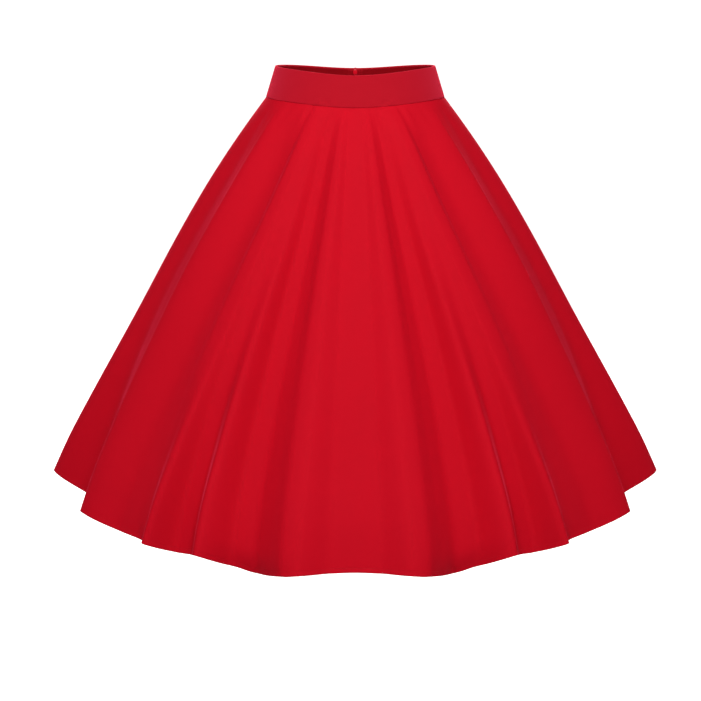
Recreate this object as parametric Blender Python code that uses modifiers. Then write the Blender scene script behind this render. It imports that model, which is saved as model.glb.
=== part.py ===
"""A flared skirt, filled out as if worn: three panels, a waistband and a concealed zip at the centre back.

Metres, +Z up. The front faces -Y and the wearer's left side is +X. The origin is on the axis of the waist
opening, half way up the waistband at its sides. A bearing is an angle round that axis from the centre
front, growing towards +X, so 90 is the left side seam and 180 the centre back.
"""

import math
from collections import namedtuple

import bmesh
import bpy
import numpy as np
from mathutils import Matrix, Vector

# The waistband, a straight strip of doubled cloth
BAND_HEIGHT = 0.048
BAND_THICK = 0.0024
BAND_TOP_HALF_WIDTH, BAND_TOP_HALF_DEPTH = 0.118, 0.085
BAND_FOOT_HALF_WIDTH, BAND_FOOT_HALF_DEPTH = 0.132, 0.0965
BAND_RISE = math.sqrt(BAND_HEIGHT**2 - (BAND_FOOT_HALF_WIDTH - BAND_TOP_HALF_WIDTH) ** 2)
SADDLE = 0.009
BAND_COLUMNS = 96

# The skirt cloth and its turned hem
SKIRT_SLANT = 0.668
SKIRT_THICK = 0.0014
HEM_THICK = 0.0026
HEM_DEPTH = 0.008
HEM_STEP = 0.0015
SEAM_GAP = 0.0003
FRONT_COLUMNS, BACK_COLUMNS, EDGE_COLUMN = 76, 38, 0.3
ROW_DOWNS = (0.0, 0.025, 0.055, 0.095, 0.15, 0.215, 0.29, 0.37, 0.45, 0.525, 0.595)

# The zip: tape, slider and pull tab
ZIP_TOP = 0.002
ZIP_DEPTHS_ON_BAND = (ZIP_TOP, 0.008, 0.013, 0.0195, 0.026, 0.036, BAND_HEIGHT)
ZIP_ROWS_ON_SKIRT = 4
TAPE_GAP = 0.0004
TAPE_WIDTH, TAPE_THICK = 0.0115, 0.001
ZIP_MOUTH, ZIP_MOUTH_DEPTH = 0.0024, 0.013
ZIP_CLOSED, ZIP_CLOSED_DEPTH = 0.0006, 0.026
SLIDER_DEPTH = 0.0054
BODY_WIDTH, BODY_HEIGHT, BODY_THICK = 0.0064, 0.0084, 0.0026
BLADE_WIDTH, BLADE_HEIGHT = 0.0012, 0.0048
PIVOT_OUT, PIVOT_HOLE_RADIUS, BLADE_RIM = 0.0019, 0.00105, 0.0006
TAB_LENGTH, TAB_NECK_WIDTH, TAB_WIDTH, TAB_THICK = 0.021, 0.0042, 0.0056, 0.001
TAB_BAR, TAB_WINDOW_WIDTH, TAB_WINDOW_LENGTH = 0.0005, 0.002, 0.0029
TAB_REST_GAP = 0.0004

# Smooth sections of the skirt down its slant, before the folds
Ring = namedtuple("Ring", "down half_width front_depth back_depth")
RINGS = (
    Ring(0.000, 0.1315, 0.0960, 0.0960),
    Ring(0.030, 0.1475, 0.1105, 0.1115),
    Ring(0.080, 0.1735, 0.1315, 0.1345),
    Ring(0.160, 0.2145, 0.1600, 0.1660),
    Ring(0.260, 0.2625, 0.1940, 0.2040),
    Ring(0.380, 0.3160, 0.2320, 0.2470),
    Ring(0.520, 0.3775, 0.2740, 0.2950),
    Ring(0.610, 0.4155, 0.3000, 0.3255),
    Ring(0.668, 0.4375, 0.3125, 0.3405),
)

# One row for each line that runs down a fold: its bearing at the seam, half way down and at the hem, how
# far it stands out from the smooth section near the top, half way down and at the hem in mm, and how much
# longer it hangs at the hem in mm, where the cloth lies on the bias
Fold = namedtuple("Fold", "line seam middle hem out_upper out_middle out_hem drop")
UPPER_SHARE = 0.15
FRONT_FOLDS = (
    Fold("centre panel", 0.0, 0.0, 0.0, 0, -1, -3, 0),
    Fold("first trough", 5.0, 6.0, 6.5, 0.5, 0.5, -1, 2),
    Fold("first crest", 8.5, 12.8, 14.4, 4, 9, 21, 11),
    Fold("first edge", 10.5, 16.2, 17.4, 3, 7, 19, 13),
    Fold("first flank", 12.8, 21.2, 23.0, -2, -6, -4, 13),
    Fold("first foot", 15.6, 26.3, 28.5, -6.5, -15, -23, 12),
    Fold("first valley", 19.0, 30.8, 33.6, -6, -15, -25, 8),
    Fold("second crest", 23.5, 35.3, 39.2, 0, 4, 12, 5),
    Fold("second valley", 26.0, 39.8, 45.4, 3, -1, -28, 9),
    Fold("second foot", 27.4, 42.2, 49.6, 4.5, 1, -31, 14),
    Fold("third crest", 29.0, 44.5, 52.4, 5.5, 7, 8, 16),
    Fold("third edge", 32.5, 48.5, 55.0, 4.5, 5, -8, 13),
    Fold("third foot", 37.0, 51.7, 58.2, -1.5, 0, -13, 10),
    Fold("third valley", 45.0, 56.5, 62.6, -5, -4, -14, 8),
    Fold("fourth crest", 60.0, 69.5, 72.0, 3.5, 8, 7, 7),
    Fold("fourth edge", 63.5, 73.2, 76.0, 0.5, -3, -22, 5),
    Fold("side valley", 71.0, 80.0, 86.0, -3, -6, -34, 0),
    Fold("side crest", 88.0, 90.0, 94.5, 6, 12, 29, 0),
    Fold("side back", 94.0, 96.0, 99.5, 2, 0, 5, 0),
)
BACK_FOLDS = (
    Fold("left valley", 103.0, 107.0, 110.0, -4, -12, -24, 0),
    Fold("left crest", 117.0, 121.0, 124.0, 4.5, 13, 28, 4),
    Fold("left inner valley", 129.0, 134.0, 137.0, -3.5, -10, -22, 0),
    Fold("left inner crest", 143.0, 148.0, 151.0, 3.5, 12, 24, 5),
    Fold("zip left valley", 160.0, 163.0, 165.0, -1, -7, -18, 0),
    Fold("zip crest", 176.0, 177.0, 178.0, 0, 4, 10, 2),
    Fold("zip right valley", 196.0, 195.0, 193.0, -1, -8, -20, 0),
    Fold("right inner crest", 213.0, 210.0, 207.0, 4, 13, 27, 5),
    Fold("right inner valley", 226.0, 222.0, 220.0, -4, -11, -25, 0),
    Fold("right crest", 240.0, 238.0, 235.0, 4, 12, 25, 4),
    Fold("right valley", 255.0, 252.0, 249.0, -3.5, -10, -22, 0),
)
MIRRORED_FOLDS = tuple(
    f._replace(line=f.line + " right", seam=360 - f.seam, middle=360 - f.middle, hem=360 - f.hem)
    for f in reversed(FRONT_FOLDS[1:])
)
FOLDS = FRONT_FOLDS + BACK_FOLDS + MIRRORED_FOLDS


def through_points(x, at, values):
    """The curve through the points (at, values), which turns only at those points, read at x."""
    x, at, values = (np.asarray(a, float) for a in (x, at, values))
    gap, steep = np.diff(at), np.diff(values) / np.diff(at)
    before, after = steep[:-1], steep[1:]
    rising = before * after > 0
    w1, w2 = 2 * gap[1:] + gap[:-1], gap[1:] + 2 * gap[:-1]
    mean = (w1 + w2) / (w1 / np.where(rising, before, 1) + w2 / np.where(rising, after, 1))
    slope = np.concatenate([steep[:1], np.where(rising, mean, 0), steep[-1:]])
    i = np.clip(np.searchsorted(at, x) - 1, 0, len(at) - 2)
    t = (x - at[i]) / gap[i]
    return (
        values[i] * (1 + 2 * t) * (1 - t) ** 2
        + slope[i] * gap[i] * t * (1 - t) ** 2
        + values[i + 1] * t * t * (3 - 2 * t)
        + slope[i + 1] * gap[i] * t * t * (t - 1)
    )


def round_points(bearings, at, values, per_lap=0.0):
    """through_points on a closed round, where values grows by per_lap in each lap."""
    at, values = np.asarray(at, float), np.asarray(values, float)
    at = np.concatenate([at[-3:] - 360, at, at[:3] + 360])
    values = np.concatenate([values[-3:] - per_lap, values, values[:3] + per_lap])
    return through_points(bearings, at, values)


def oval_radius(angle, half_width, half_depth):
    return 1 / np.hypot(np.sin(angle) / half_width, np.cos(angle) / half_depth)


def fold_growth(fold, share):
    """How far a fold line stands out at this share of the slant, in metres."""
    outs = (0.0, fold.out_upper, fold.out_middle, fold.out_hem)
    return float(through_points([share], (0.0, UPPER_SHARE, 0.5, 1.0), outs)[0]) / 1000


def plan_at(seams, down):
    """Plan points of the outer face at one slant distance, for columns named by their bearing at the seam."""
    share = down / SKIRT_SLANT
    downs = [ring.down for ring in RINGS]
    half_width, front, back = (
        through_points([down], downs, [ring[k] for ring in RINGS])[0] for k in (1, 2, 3)
    )
    at = [f.seam for f in FOLDS]
    bent = [
        f.seam * 2 * (share - 0.5) * (share - 1)
        + f.middle * 4 * share * (1 - share)
        + f.hem * 2 * share * (share - 0.5)
        for f in FOLDS
    ]
    angle = np.radians(round_points(seams % 360, at, bent, per_lap=360))
    out = round_points(seams % 360, at, [fold_growth(f, share) for f in FOLDS])
    half_depth = np.where(np.cos(angle) > 0, front, back)
    radius = oval_radius(angle, half_width, half_depth) + out
    return np.stack([radius * np.sin(angle), -radius * np.cos(angle)], axis=-1)


def foot_height(angle):
    """Height of the seam under the waistband, which dips at the front and back."""
    return -BAND_HEIGHT / 2 - SADDLE * np.cos(angle) ** 2


def skirt_points(seams, downs):
    """Outer face as rows of columns: every column has the same slant, so it climbs where it stands out."""
    plan = np.array([plan_at(seams, down) for down in downs])
    run = np.linalg.norm(np.diff(plan, axis=0), axis=-1)
    slant = np.diff(downs)[:, None]
    fall = np.cumsum(np.sqrt(np.maximum(slant**2 - run**2, (0.3 * slant) ** 2)), axis=0)
    drop = round_points(seams % 360, [f.seam for f in FOLDS], [f.drop for f in FOLDS]) / 1000
    height = np.tile(foot_height(np.radians(seams)), (len(downs), 1))
    height[1:] -= fall
    height -= drop * (np.array(downs)[:, None] / SKIRT_SLANT) ** 2
    return np.concatenate([plan, height[..., None]], axis=-1)


def band_points(bearings, ups):
    """Outer face of the waistband; ups are distances from its foot."""
    angle = np.radians(bearings)
    rows = []
    for up in ups:
        share = up / BAND_HEIGHT
        half_width = BAND_FOOT_HALF_WIDTH + (BAND_TOP_HALF_WIDTH - BAND_FOOT_HALF_WIDTH) * share
        half_depth = BAND_FOOT_HALF_DEPTH + (BAND_TOP_HALF_DEPTH - BAND_FOOT_HALF_DEPTH) * share
        radius = oval_radius(angle, half_width, half_depth)
        height = foot_height(angle) + up * BAND_RISE / BAND_HEIGHT
        rows.append(np.stack([radius * np.sin(angle), -radius * np.cos(angle), height], axis=-1))
    return np.array(rows)


def inward(points):
    """Unit normals of a grid of rows and columns, pointing to the wearer."""
    down, along = np.gradient(points, axis=0), np.gradient(points, axis=1)
    normal = np.cross(down, along)
    normal /= np.linalg.norm(normal, axis=-1, keepdims=True)
    outside = points * (1, 1, 0)
    return normal * -np.sign((normal * outside).sum(axis=-1, keepdims=True))


def even_columns(start, end, count):
    """Seam bearings of evenly spaced columns, with a narrow one at each edge so that edges meet squarely."""
    fine = np.linspace(start, end, 1201)
    steps = sum(
        np.linalg.norm(np.diff(plan_at(fine, down), axis=0), axis=-1)
        for down in (0.0, SKIRT_SLANT / 2, SKIRT_SLANT)
    )
    length = np.concatenate([[0], np.cumsum(steps)])
    columns = np.interp(np.linspace(0, length[-1], count + 1), length, fine)
    return np.sort(np.append(columns, (start + EDGE_COLUMN, end - EDGE_COLUMN)))


def mouth_at(depth):
    """Width of the opening at the centre back, by depth below the top of the waistband."""
    return np.interp(depth, (ZIP_MOUTH_DEPTH, ZIP_CLOSED_DEPTH), (ZIP_MOUTH, ZIP_CLOSED))


def trimmed(points, gap):
    """The grid with its first and last column drawn in by half of the gap."""
    points = points.copy()
    for edge, inner in ((0, 1), (-1, -2)):
        step = points[:, inner] - points[:, edge]
        gaps = np.broadcast_to(gap, len(points))[:, None]
        points[:, edge] += step / np.linalg.norm(step, axis=-1, keepdims=True) * gaps / 2
    return points


def material(name, colour, roughness, metallic=0.0):
    made = bpy.data.materials.new(name)
    made.use_nodes = True
    shader = made.node_tree.nodes["Principled BSDF"]
    shader.inputs["Base Color"].default_value = (*colour, 1)
    shader.inputs["Roughness"].default_value = roughness
    shader.inputs["Metallic"].default_value = metallic
    return made


def add_object(name, mesh, finish):
    obj = bpy.data.objects.new(name, mesh)
    SKIRT.objects.link(obj)
    mesh.materials.append(finish)
    for face in mesh.polygons:
        face.use_smooth = True
    return obj


def cloth(name, points, thick, finish, rim_rows=0, rim_thick=None):
    """A wall of cloth from its outer face; the last rim_rows rows are rim_thick, all of it inwards."""
    rows, columns = points.shape[:2]
    mesh = bpy.data.meshes.new(name)
    corners = [
        (r * columns + c, (r + 1) * columns + c, (r + 1) * columns + c + 1, r * columns + c + 1)
        for r in range(rows - 1)
        for c in range(columns - 1)
    ]
    mesh.from_pydata(points.reshape(-1, 3).tolist(), [], corners)
    build = bmesh.new()
    build.from_mesh(mesh)
    middle = build.faces[:][len(corners) // 2]
    if middle.normal.dot(middle.calc_center_median() * Vector((1, 1, 0))) < 0:
        bmesh.ops.reverse_faces(build, faces=build.faces)
    build.to_mesh(mesh)
    build.free()
    obj = add_object(name, mesh, finish)
    wall = obj.modifiers.new("Wall", "SOLIDIFY")
    wall.thickness = rim_thick or thick
    wall.offset = -1
    if rim_rows:
        rim = obj.vertex_groups.new(name="rim")
        rim.add(list(range((rows - rim_rows) * columns, rows * columns)), 1, "REPLACE")
        wall.vertex_group = rim.name
        wall.thickness_vertex_group = thick / rim_thick
    return obj


def block(name, size, centre, bevel=0.0):
    """A box object, its edges rounded, in the slider's own axes."""
    mesh = bpy.data.meshes.new(name)
    build = bmesh.new()
    bmesh.ops.create_cube(build, size=1, matrix=Matrix.Translation(centre) @ Matrix.Diagonal((*size, 1)))
    if bevel:
        edges = build.edges[:]
        bmesh.ops.bevel(build, geom=edges, offset=bevel, segments=2, profile=0.5, affect="EDGES", material=-1)
    build.to_mesh(mesh)
    build.free()
    return bpy.data.objects.new(name, mesh)


def combine(obj, other, operation):
    """Joins other to obj, or cuts it away, with other kept as a hidden helper."""
    HELPERS.objects.link(other)
    other.hide_render = True
    other.display_type = "WIRE"
    step = obj.modifiers.new(other.name, "BOOLEAN")
    step.operation = operation
    step.solver = "EXACT"
    step.object = other


# The scene starts empty
for old in list(bpy.data.objects):
    bpy.data.objects.remove(old, do_unlink=True)
SKIRT = bpy.data.collections.new("Flared skirt")
HELPERS = bpy.data.collections.new("Helpers")
HELPERS.hide_render = True
for collection in (SKIRT, HELPERS):
    bpy.context.scene.collection.children.link(collection)

# Materials
twill = material("red twill", (0.50, 0.004, 0.018), 0.75)
band_twill = material("red twill band", (0.53, 0.004, 0.02), 0.75)
tape_cloth = material("red zip tape", (0.36, 0.003, 0.014), 0.85)
slider_metal = material("painted slider", (0.55, 0.006, 0.022), 0.35)
tab_metal = material("painted pull tab", (0.55, 0.006, 0.022), 0.35)

# Skirt panels, from side seam to side seam and from each to the centre back
row_downs = ROW_DOWNS + (
    SKIRT_SLANT - HEM_DEPTH - HEM_STEP,
    SKIRT_SLANT - HEM_DEPTH,
    SKIRT_SLANT,
)
panels = (
    ("skirt_front", -90, 90, FRONT_COLUMNS),
    ("skirt_back_left", 90, 180, BACK_COLUMNS),
    ("skirt_back_right", 180, 270, BACK_COLUMNS),
)
for name, start, end, count in panels:
    grid = skirt_points(even_columns(start, end, count), row_downs)
    grid[0, :, 2] -= SEAM_GAP
    cloth(name, trimmed(grid, SEAM_GAP), SKIRT_THICK, twill, rim_rows=2, rim_thick=HEM_THICK)
# Waistband, one strip whose ends meet at the centre back and open there for the zip slider
band_ups = np.array([0.0, *(BAND_HEIGHT - depth for depth in (0.036, 0.026, 0.0195, 0.013)), BAND_HEIGHT])
band = band_points(np.linspace(-180, 180, BAND_COLUMNS + 1), band_ups)
cloth("waistband", trimmed(band, mouth_at(BAND_HEIGHT - band_ups)), BAND_THICK, band_twill)

# Zip tapes, on the inside of the waistband and of the back panels
skirt_depths = tuple(BAND_HEIGHT + down for down in ROW_DOWNS[1 : 1 + ZIP_ROWS_ON_SKIRT])
tape_depths = np.array(ZIP_DEPTHS_ON_BAND + skirt_depths)
for name, side in (("zip_tape_left", 1), ("zip_tape_right", -1)):
    rows = []
    for depth in tape_depths:
        spread = side * np.array([mouth_at(depth) / 2, TAPE_WIDTH / 2, TAPE_WIDTH])
        if depth <= BAND_HEIGHT:
            bearings = 180 - np.degrees(spread / BAND_TOP_HALF_DEPTH)
            patch = band_points(bearings, (BAND_HEIGHT - depth + 0.001, BAND_HEIGHT - depth))
            inset = BAND_THICK
        else:
            down = depth - BAND_HEIGHT
            half_depth = through_points([down], [r.down for r in RINGS], [r.back_depth for r in RINGS])[0]
            bearings = 180 - np.degrees(spread / half_depth)
            patch = skirt_points(bearings, (0.0, down, down + 0.001))[1:]
            inset = SKIRT_THICK
        patch[..., 0] = spread
        rows.append((patch + inward(patch) * (inset + TAPE_GAP))[-1 if depth <= BAND_HEIGHT else 0])
    tape = np.array(rows)
    tape[:, 0, 0] = side * mouth_at(tape_depths) / 2
    cloth(name, tape if side > 0 else tape[:, ::-1], TAPE_THICK, tape_cloth)

# The slider's own axes: X to the wearer's left, Y out of the waistband, Z up its slope
lean = math.atan((BAND_FOOT_HALF_DEPTH - BAND_TOP_HALF_DEPTH) / BAND_RISE)
seat = Vector(band_points(np.array([180.0]), (BAND_HEIGHT - SLIDER_DEPTH,))[0, 0])
slider_axes = Matrix.Translation(seat) @ Matrix.Rotation(lean, 4, "X")

# Slider: a body inside the zip, and a blade that passes between the tapes and holds the pull tab
body_face = -(BAND_THICK + TAPE_GAP + TAPE_THICK + SEAM_GAP)
blade_end = PIVOT_OUT + PIVOT_HOLE_RADIUS + BLADE_RIM
body_size = (BODY_WIDTH, BODY_THICK, BODY_HEIGHT)
slider = block("zip_slider", body_size, (0, body_face - BODY_THICK / 2, 0), bevel=0.0009)
blade_back = body_face - BODY_THICK / 2
blade_size = (BLADE_WIDTH, blade_end - blade_back, BLADE_HEIGHT)
combine(slider, block("slider blade", blade_size, (0, (blade_end + blade_back) / 2, 0), bevel=0.0003), "UNION")
hole = bpy.data.meshes.new("pivot hole")
build = bmesh.new()
bmesh.ops.create_cone(
    build,
    cap_ends=True,
    segments=20,
    radius1=PIVOT_HOLE_RADIUS,
    radius2=PIVOT_HOLE_RADIUS,
    depth=3 * BLADE_WIDTH,
    matrix=Matrix.Translation((0, PIVOT_OUT, 0)) @ Matrix.Rotation(math.pi / 2, 4, "Y"),
)
build.to_mesh(hole)
build.free()
combine(slider, bpy.data.objects.new("pivot hole", hole), "DIFFERENCE")
SKIRT.objects.link(slider)
slider.data.materials.append(slider_metal)

# Pull tab: a flat drop with a window, its top bar through the hole in the blade
outline = []
for step in range(9):
    turn = math.pi * step / 8
    outline.append((math.cos(turn) * TAB_WIDTH / 2, -TAB_LENGTH + TAB_WIDTH / 2 * (1 - math.sin(turn))))
shoulder = -TAB_BAR - TAB_WINDOW_LENGTH - TAB_BAR
outline = (
    [(TAB_NECK_WIDTH / 2, TAB_BAR), (TAB_NECK_WIDTH / 2, shoulder)]
    + outline
    + [(-TAB_NECK_WIDTH / 2, shoulder), (-TAB_NECK_WIDTH / 2, TAB_BAR)]
)
tab_mesh = bpy.data.meshes.new("zip_pull")
build = bmesh.new()
front = build.faces.new([build.verts.new((x, TAB_THICK / 2, z)) for x, z in outline])
pushed = bmesh.ops.extrude_face_region(build, geom=[front])
moved = [v for v in pushed["geom"] if isinstance(v, bmesh.types.BMVert)]
bmesh.ops.translate(build, vec=(0, -TAB_THICK, 0), verts=moved)
bmesh.ops.recalc_face_normals(build, faces=build.faces)
build.to_mesh(tab_mesh)
build.free()
tab = bpy.data.objects.new("zip_pull", tab_mesh)
SKIRT.objects.link(tab)
tab_mesh.materials.append(tab_metal)
window_size = (TAB_WINDOW_WIDTH, 3 * TAB_THICK, TAB_WINDOW_LENGTH)
window_centre = (0, 0, -TAB_BAR - TAB_WINDOW_LENGTH / 2)
combine(tab, block("tab window", window_size, window_centre), "DIFFERENCE")

# At rest the tab's tip lies against the waistband
tip_swing = math.asin((PIVOT_OUT - TAB_THICK / 2 - TAB_REST_GAP) / TAB_LENGTH)
tab_axes = slider_axes @ Matrix.Translation((0, PIVOT_OUT, 0)) @ Matrix.Rotation(-tip_swing, 4, "X")
for obj, axes in ((slider, slider_axes), (tab, tab_axes)):
    obj.matrix_world = axes
for helper in HELPERS.objects:
    helper.matrix_world = tab_axes if helper.name == "tab window" else slider_axes
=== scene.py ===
import math
from collections import namedtuple

import bmesh
import bpy
import numpy as np
from mathutils import Matrix, Vector


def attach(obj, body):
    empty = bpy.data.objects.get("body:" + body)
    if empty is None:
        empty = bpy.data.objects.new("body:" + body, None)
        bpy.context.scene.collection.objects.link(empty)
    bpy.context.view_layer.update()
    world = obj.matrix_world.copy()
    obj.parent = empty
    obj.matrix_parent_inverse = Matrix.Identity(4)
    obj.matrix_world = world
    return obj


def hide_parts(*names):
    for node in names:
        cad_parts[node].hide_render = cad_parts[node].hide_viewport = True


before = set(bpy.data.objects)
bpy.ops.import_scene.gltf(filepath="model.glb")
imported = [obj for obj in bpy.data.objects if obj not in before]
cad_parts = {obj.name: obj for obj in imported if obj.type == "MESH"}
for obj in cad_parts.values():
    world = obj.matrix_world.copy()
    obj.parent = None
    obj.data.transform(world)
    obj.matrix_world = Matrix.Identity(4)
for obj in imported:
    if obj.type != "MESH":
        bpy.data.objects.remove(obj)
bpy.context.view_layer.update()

# Camera: it stands 3.4 m in front of the skirt and a little above the waist, and looks 10.7 degrees
# down, which gives the curve of the waist and of the hem in the photograph.
camera_data = bpy.data.cameras.new("camera")
camera_data.lens = 117.7
camera_data.sensor_width = 36
camera_data.shift_x = -0.0068
camera = bpy.data.objects.new("camera", camera_data)
camera.location = (0, -3.4, 0.2337)
camera.rotation_euler = (math.pi / 2 - math.radians(10.66), 0, 0)
bpy.context.scene.collection.objects.link(camera)
bpy.context.scene.camera = camera

# Waistband: a straight strip of the skirt's twill, folded lengthways along its top edge over a light
# interlining. Its outer layer is sewn to the panels right sides together, and its ends are turned in at
# the centre back, where the zip opens it.
BAND_HEIGHT, BAND_THICK = 0.048, 0.0024
BAND_TOP_HALF_WIDTH, BAND_TOP_HALF_DEPTH = 0.118, 0.085
BAND_FOOT_HALF_WIDTH, BAND_FOOT_HALF_DEPTH = 0.132, 0.0965
BAND_RISE = math.sqrt(BAND_HEIGHT**2 - (BAND_FOOT_HALF_WIDTH - BAND_TOP_HALF_WIDTH) ** 2)
SADDLE = 0.009
CLOTH_THICK = 0.0007
ZIP_MOUTH, ZIP_MOUTH_DEPTH = 0.0024, 0.013
ZIP_CLOSED, ZIP_CLOSED_DEPTH = 0.0006, 0.026
Crease = namedtuple("Crease", "bearing lean start end width out")
# Small soft ridges and troughs: bearing at the start, degrees it leans per metre, where it starts and ends
# up the band or down the skirt, half width in degrees, and how far it stands out in mm
BAND_CREASES = (
    Crease(0, 0, -0.02, 0.030, 9, 0.35),
    Crease(27, 0, 0.004, 0.050, 12, -0.35),
    Crease(24, 0, -0.004, 0.011, 3.0, -1.1),
    Crease(29, 200, -0.003, 0.013, 2.6, 1.1),
    Crease(62, 0, -0.02, 0.040, 8, 0.4),
    Crease(78, 0, 0.000, 0.044, 6, -0.3),
    Crease(108, 0, -0.01, 0.030, 8, 0.4),
    Crease(126, 300, -0.002, 0.014, 4, -0.7),
    Crease(149, 0, 0.000, 0.046, 9, 0.35),
    Crease(207, 0, -0.01, 0.036, 8, 0.4),
    Crease(231, -300, -0.002, 0.013, 4, -0.7),
    Crease(250, 0, 0.000, 0.044, 7, -0.35),
)


def mirrored(creases):
    """The creases of the right half of the front, which repeat those of the left as the photograph shows."""
    front = [crease for crease in creases if 0 < crease.bearing < 90]
    return [crease._replace(bearing=360 - crease.bearing, lean=-crease.lean) for crease in front]


def creased(bearings, places, creases):
    """How far the creases stand out, as rows of columns, in metres."""
    out = np.zeros((len(places), len(bearings)))
    places = np.array(places, float)[:, None]
    for crease in creases:
        centre = crease.bearing + crease.lean * (places - crease.start)
        away = (bearings[None, :] - centre + 180) % 360 - 180
        along = np.clip((places - crease.start) / (crease.end - crease.start), 0, 1)
        out += crease.out / 1000 * np.exp(-((away / crease.width) ** 2)) * np.sin(np.pi * along) ** 2
    return out


def oval_radius(angle, half_width, half_depth):
    """Distance from the middle of an oval to its rim, in these directions."""
    return 1 / np.hypot(np.sin(angle) / half_width, np.cos(angle) / half_depth)


def foot_height(angle):
    """Height of the seam under the waistband, which dips at the front and back."""
    return -BAND_HEIGHT / 2 - SADDLE * np.cos(angle) ** 2


def band_points(bearings, ups):
    """Outer face of the waistband; ups are distances from its foot."""
    angle = np.radians(bearings)
    rows = []
    for up in ups:
        share = up / BAND_HEIGHT
        half_width = BAND_FOOT_HALF_WIDTH + (BAND_TOP_HALF_WIDTH - BAND_FOOT_HALF_WIDTH) * share
        half_depth = BAND_FOOT_HALF_DEPTH + (BAND_TOP_HALF_DEPTH - BAND_FOOT_HALF_DEPTH) * share
        radius = oval_radius(angle, half_width, half_depth)
        height = foot_height(angle) + up * BAND_RISE / BAND_HEIGHT
        rows.append(np.stack([radius * np.sin(angle), -radius * np.cos(angle), height], axis=-1))
    return np.array(rows)


def inward(points):
    """Unit normals of a grid of rows and columns, pointing to the wearer."""
    down, along = np.gradient(points, axis=0), np.gradient(points, axis=1)
    normal = np.cross(down, along)
    normal /= np.linalg.norm(normal, axis=-1, keepdims=True)
    return normal * -np.sign((normal * points * (1, 1, 0)).sum(axis=-1, keepdims=True))


def mouth_at(depth):
    """Width of the opening at the centre back, by depth below the top of the waistband."""
    return np.interp(depth, (ZIP_MOUTH_DEPTH, ZIP_CLOSED_DEPTH), (ZIP_MOUTH, ZIP_CLOSED))


def trimmed(points, gap):
    """The grid with its first and last column drawn in by half of the gap."""
    points = points.copy()
    for edge, inner in ((0, 2), (-1, -3)):
        step = points[:, inner] - points[:, edge]
        gaps = np.broadcast_to(gap, len(points))[:, None]
        points[:, edge] += step / np.linalg.norm(step, axis=-1, keepdims=True) * gaps / 2
    return points


def add_node(tree, kind, values=(), **settings):
    made = tree.nodes.new("ShaderNode" + kind)
    for name, value in settings.items():
        setattr(made, name, value)
    for name, value in dict(values).items():
        made.inputs[name].default_value = value
    return made


def weave_group():
    """Twill: slanting ribs, the weft between them and uneven yarn. Place is in metres on the cloth as cut."""
    group = bpy.data.node_groups.new("twill weave", "ShaderNodeTree")
    for name, kind in (("Place", "Vector"), ("Colour", "Color"), ("Rib", "Float"), ("Mottle", "Float")):
        group.interface.new_socket(name, in_out="INPUT", socket_type="NodeSocket" + kind)
    for name, kind in (("Colour", "Color"), ("Roughness", "Float"), ("Height", "Float")):
        group.interface.new_socket(name, in_out="OUTPUT", socket_type="NodeSocket" + kind)
    given, made = group.nodes.new("NodeGroupInput"), group.nodes.new("NodeGroupOutput")
    link = group.links.new

    def math_node(operation, first, second):
        step = add_node(group, "Math", operation=operation)
        for socket, value in zip(step.inputs, (first, second)):
            if isinstance(value, (int, float)):
                socket.default_value = value
            else:
                link(value, socket)
        return step.outputs[0]

    # A wave texture repeats each 0.314 of its own units
    finer = add_node(group, "VectorMath", operation="SCALE")
    link(given.outputs["Place"], finer.inputs[0])
    link(math_node("DIVIDE", 0.314, given.outputs["Rib"]), finer.inputs["Scale"])
    turned = add_node(group, "Mapping", {"Rotation": (0, 0, math.radians(27))})
    ribs = add_node(group, "TexWave", {"Scale": 1.0, "Distortion": 0.4, "Detail": 1.0, "Detail Scale": 0.6})
    weft = add_node(group, "TexWave", {"Scale": 1.3}, bands_direction="Y")
    link(finer.outputs[0], turned.inputs["Vector"])
    link(turned.outputs[0], ribs.inputs["Vector"])
    link(finer.outputs[0], weft.inputs["Vector"])
    yarn = add_node(group, "TexNoise", {"Scale": 1500.0, "Detail": 2.0})
    streak_place = add_node(group, "Mapping", {"Scale": (420, 14, 1)})
    streak = add_node(group, "TexNoise", {"Scale": 1.0, "Detail": 2.0})
    cloud = add_node(group, "TexNoise", {"Scale": 24.0, "Detail": 3.0})
    for texture in (yarn, streak_place, cloud):
        link(given.outputs["Place"], texture.inputs["Vector"])
    link(streak_place.outputs[0], streak.inputs["Vector"])
    relief = math_node("MULTIPLY", ribs.outputs["Fac"], 0.62)
    for texture, share in ((weft, 0.18), (yarn, 0.2)):
        relief = math_node("ADD", relief, math_node("MULTIPLY", texture.outputs["Fac"], share))
    uneven = math_node("ADD", math_node("SUBTRACT", streak.outputs["Fac"], 0.5), cloud.outputs["Fac"])
    uneven = math_node("MULTIPLY", math_node("SUBTRACT", uneven, 0.5), given.outputs["Mottle"])
    bright = math_node("ADD", math_node("MULTIPLY", math_node("SUBTRACT", relief, 0.5), 0.16), 1.0)
    shade = add_node(group, "HueSaturation")
    link(math_node("ADD", bright, uneven), shade.inputs["Value"])
    link(given.outputs["Colour"], shade.inputs["Color"])
    link(shade.outputs[0], made.inputs["Colour"])
    rough = math_node("SUBTRACT", 0.82, math_node("MULTIPLY", relief, 0.12))
    link(math_node("ADD", rough, uneven), made.inputs["Roughness"])
    link(relief, made.inputs["Height"])
    return group


TWILL = weave_group()


DEEP_RED_SHEEN = (1.0, 0.05, 0.12, 1)


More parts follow.
